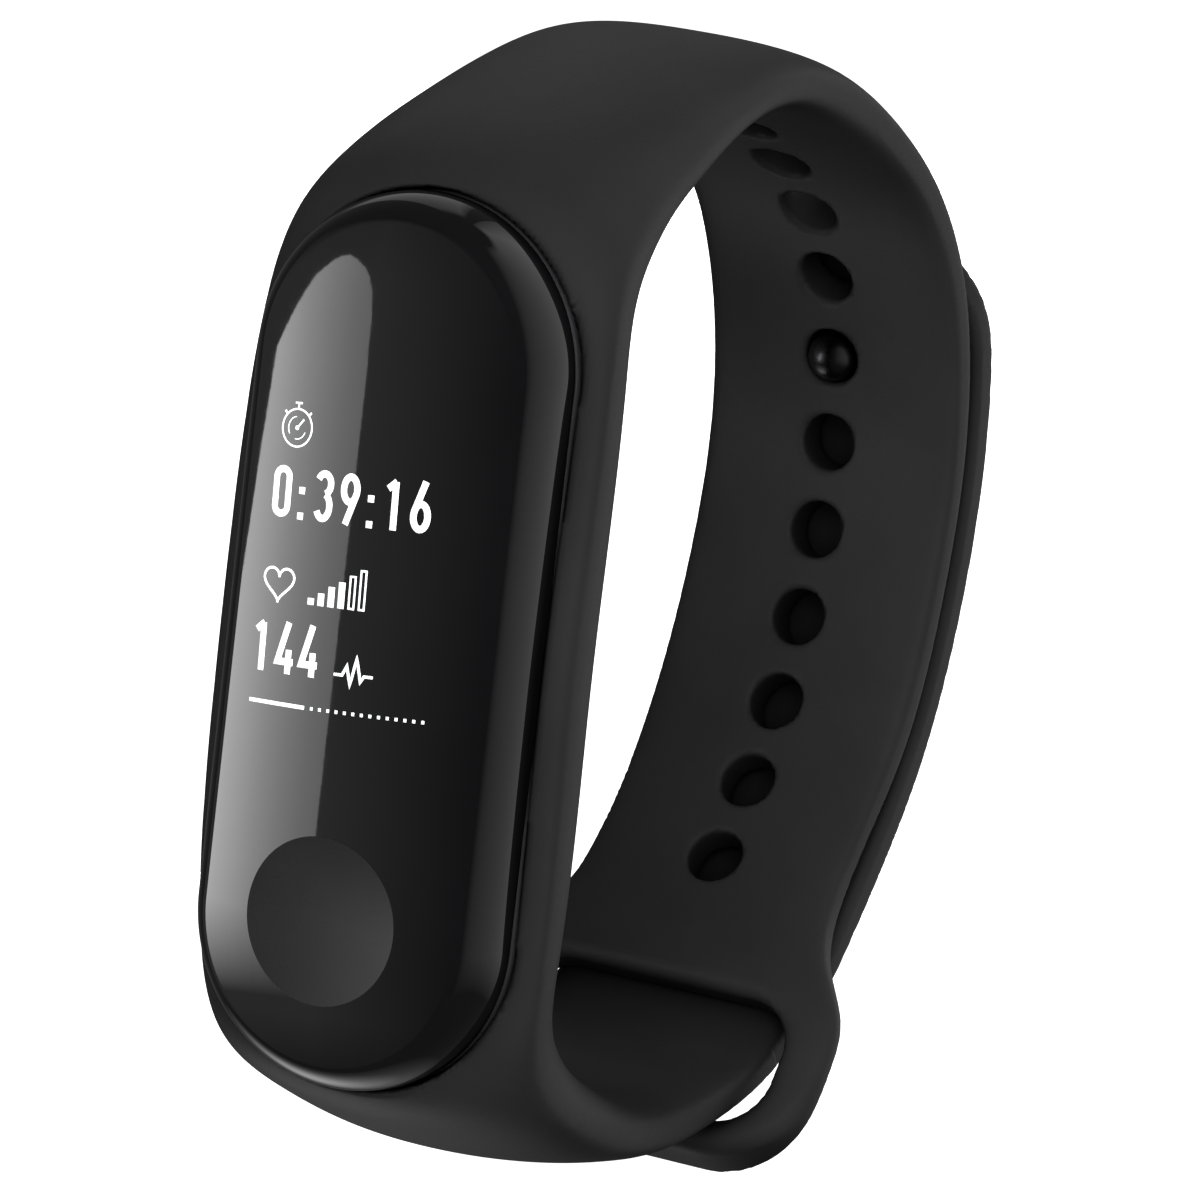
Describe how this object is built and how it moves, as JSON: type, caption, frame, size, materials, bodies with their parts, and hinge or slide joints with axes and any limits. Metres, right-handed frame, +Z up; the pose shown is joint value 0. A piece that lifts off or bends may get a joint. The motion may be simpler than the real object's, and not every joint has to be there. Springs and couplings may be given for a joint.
{
  "type": "fitness tracker band",
  "caption": "Capsule-shaped wrist tracker in a moulded elastomer strap that closes through a keeper loop with a metal stud in one of a row of holes.",
  "frame": {"origin": "middle of the sensor window's back face, where the tracker rests on the wrist", "axes": "+Z up along the tracker's long side, +Y into the wrist loop away from the display, +X across the strap"},
  "size_m": [0.0222, 0.0561, 0.0626],
  "materials": {
    "strap_rubber": "satin moulded elastomer, near black",
    "front_gloss": "polished black front with curved edges",
    "case_plastic": "fine matte black moulding",
    "stud_metal": "dark plated metal",
    "inner_metal": "plain sheet metal",
    "contact_metal": "gold plated",
    "board": "solder mask",
    "chip": "moulded chip body",
    "tape": "foam and adhesive tape",
    "battery_foil": "pouch foil",
    "flex_film": "polyimide film",
    "sensor_gloss": "polished dark window"
  },
  "bodies": {
    "strap": {"strap_body": "strap_rubber"},
    "tail": {"strap_tail": "strap_rubber", "clasp_stud": "stud_metal", "clasp_cap": "stud_metal"},
    "tracker": {"front_lens": "front_gloss", "lens_gasket": "tape", "tracker_case": "case_plastic", "sensor_window": "sensor_gloss", "window_adhesive": "tape", "charge_contact_left": "contact_metal", "charge_contact_right": "contact_metal", "display_adhesive": "tape", "display_panel": "front_gloss", "touch_electrode": "contact_metal", "display_ribbon": "flex_film", "inner_frame": "case_plastic", "main_board": "board", "radio_shield": "inner_metal", "radio_chip": "chip", "memory_chip": "chip", "motion_sensor": "chip", "clock_crystal": "chip", "touch_controller": "chip", "battery_tape": "tape", "battery_cell": "battery_foil", "battery_leads": "contact_metal", "antenna": "contact_metal", "motor_can": "inner_metal", "motor_base": "inner_metal", "motor_shaft": "inner_metal", "sensor_board": "board", "sensor_led_top": "chip", "sensor_led_low": "chip", "sensor_photodiode": "chip", "sensor_light_wall": "case_plastic", "contact_spring_left": "contact_metal", "contact_spring_right": "contact_metal"},
    "motor_rotor": {"motor_weight": "inner_metal"}
  },
  "joints": [
    {"name": "tracker_eject", "type": "slide", "parent": "strap", "child": "tracker", "axis": [0, -1, 0], "range_m": [0, 0.016]},
    {"name": "clasp_peel", "type": "hinge", "parent": "strap", "child": "tail", "pos_m": [0, 0.04266, -0.00091], "axis": [-1, 0, 0], "range_deg": [0, 60], "stiffness_Nm_per_rad": 0.015},
    {"name": "motor_spin", "type": "hinge", "parent": "tracker", "child": "motor_rotor", "pos_m": [0, -0.0054, 0.0163], "axis": [0, -1, 0], "continuous": true}
  ]
}
